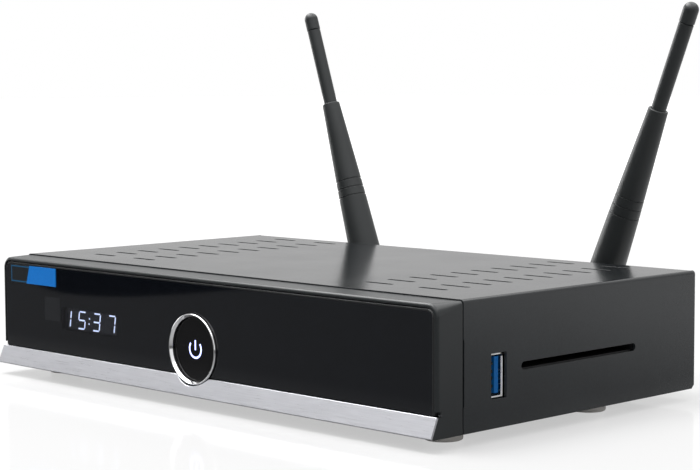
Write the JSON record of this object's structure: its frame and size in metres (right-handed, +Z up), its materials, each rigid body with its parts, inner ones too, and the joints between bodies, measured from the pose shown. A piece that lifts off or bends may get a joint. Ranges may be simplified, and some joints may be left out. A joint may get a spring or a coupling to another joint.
{
  "type": "satellite tv receiver",
  "caption": "Flat black set-top receiver with glossy front window, clock display, ringed power key, silver foot trim, side USB and card slot, and folding rear antennas.",
  "frame": {"origin": "middle of the whole footprint (case and antennas) at the underside of the feet", "axes": "+X to the right seen from the front, +Y to the rear, +Z up"},
  "size_m": [0.22, 0.1512, 0.1365],
  "materials": {
    "case_paint": "fine-textured semi-gloss powder coat",
    "bezel_plastic": "smooth satin moulding",
    "carrier_plastic": "satin",
    "window_gloss": "polished",
    "trim_silver": "fine horizontal brushing",
    "ring_chrome": "polished",
    "key_gloss": "polished",
    "guide_light": "lit, translucent",
    "badge_blue": "polished",
    "display_black": "satin",
    "segment_light": "lit",
    "board_green": "solder mask",
    "chip_black": "moulded",
    "sink_aluminium": "extruded",
    "can_steel": "tin plate",
    "socket_nickel": "nickel plate",
    "contact_gold": "gold plate",
    "socket_black": "moulded",
    "usb_blue": "moulded",
    "foot_rubber": "pale, satin",
    "screw_black": "black oxide",
    "capacitor_sleeve": "shrink sleeve",
    "cable_black": "matt",
    "ribbon_white": "satin",
    "antenna_plastic": "matt rubbery plastic",
    "pin_steel": "plain"
  },
  "bodies": {
    "case": {"antenna_cables": "cable_black", "antenna_jacks": "contact_gold", "av_jack": "socket_black", "badge_tile": "badge_blue", "board_screws": "pin_steel", "board_standoffs": "pin_steel", "cable_tuner": "can_steel", "capacitors": "capacitor_sleeve", "card_reader": "socket_black", "chassis_tray": "case_paint", "clock_display": "display_black", "clock_segments": "segment_light", "cover_screws": "screw_black", "dc_jack": "socket_black", "feet": "foot_rubber", "front_bezel": "bezel_plastic", "front_board": "board_green", "front_window": "window_gloss", "hdmi_socket": "socket_nickel", "heat_sink": "sink_aluminium", "inductors": "chip_black", "infrared_receiver": "display_black", "main_board": "board_green", "memory_chips": "chip_black", "network_socket": "socket_black", "optical_socket": "socket_black", "port_plate": "can_steel", "power_ring": "ring_chrome", "processor": "chip_black", "rear_panel": "case_paint", "rear_tongues": "socket_black", "rear_usb_shell": "socket_nickel", "ribbon_cable": "ribbon_white", "rocker_housing": "socket_black", "satellite_tuner": "can_steel", "side_usb_shell": "socket_nickel", "side_usb_tongue": "usb_blue", "socket_contacts": "contact_gold", "standby_led": "segment_light", "tact_switch": "socket_black", "top_cover": "case_paint", "trim_strip": "trim_silver", "tuner_connectors": "socket_nickel", "wifi_module": "can_steel", "window_carrier": "carrier_plastic"},
    "power_key": {"power_button": "key_gloss", "standby_light_guide": "guide_light", "switch_plunger": "socket_black"},
    "power_rocker_key": {"power_rocker": "socket_black"},
    "shutter": {"optical_shutter": "socket_black"},
    "left_base": {"left_antenna_base": "antenna_plastic"},
    "left_antenna": {"left_antenna_sleeve": "antenna_plastic", "left_antenna_rod": "antenna_plastic", "left_antenna_cap": "antenna_plastic", "left_antenna_pin": "pin_steel"},
    "right_base": {"right_antenna_base": "antenna_plastic"},
    "right_antenna": {"right_antenna_sleeve": "antenna_plastic", "right_antenna_rod": "antenna_plastic", "right_antenna_cap": "antenna_plastic", "right_antenna_pin": "pin_steel"}
  },
  "joints": [
    {"name": "power_press", "type": "slide", "parent": "case", "child": "power_key", "axis": [0, 1, 0], "range_m": [0, 0.0005], "stiffness_N_per_m": 1500},
    {"name": "rocker_tilt", "type": "hinge", "parent": "case", "child": "power_rocker_key", "pos_m": [-0.0855, 0.05138, 0.0245], "axis": [1, 0, 0], "range_deg": [-20, 0]},
    {"name": "shutter_swing", "type": "hinge", "parent": "case", "child": "shutter", "pos_m": [0.016, 0.05248, 0.01995], "axis": [-1, 0, 0], "range_deg": [0, 80], "stiffness_Nm_per_rad": 0.0004},
    {"name": "left_antenna_turn", "type": "hinge", "parent": "case", "child": "left_base", "pos_m": [-0.0565, 0.06908, 0.026], "axis": [0, 1, 0], "range_deg": [-71.8, 48.2]},
    {"name": "left_antenna_fold", "type": "hinge", "parent": "left_base", "child": "left_antenna", "pos_m": [-0.0565, 0.06908, 0.026], "axis": [-0.95, 0, -0.3123], "range_deg": [0, 90]},
    {"name": "right_antenna_turn", "type": "hinge", "parent": "case", "child": "right_base", "pos_m": [0.0565, 0.06908, 0.026], "axis": [0, 1, 0], "range_deg": [-51.1, 68.9]},
    {"name": "right_antenna_fold", "type": "hinge", "parent": "right_base", "child": "right_antenna", "pos_m": [0.0565, 0.06908, 0.026], "axis": [-0.933, 0, 0.36], "range_deg": [0, 90]}
  ]
}
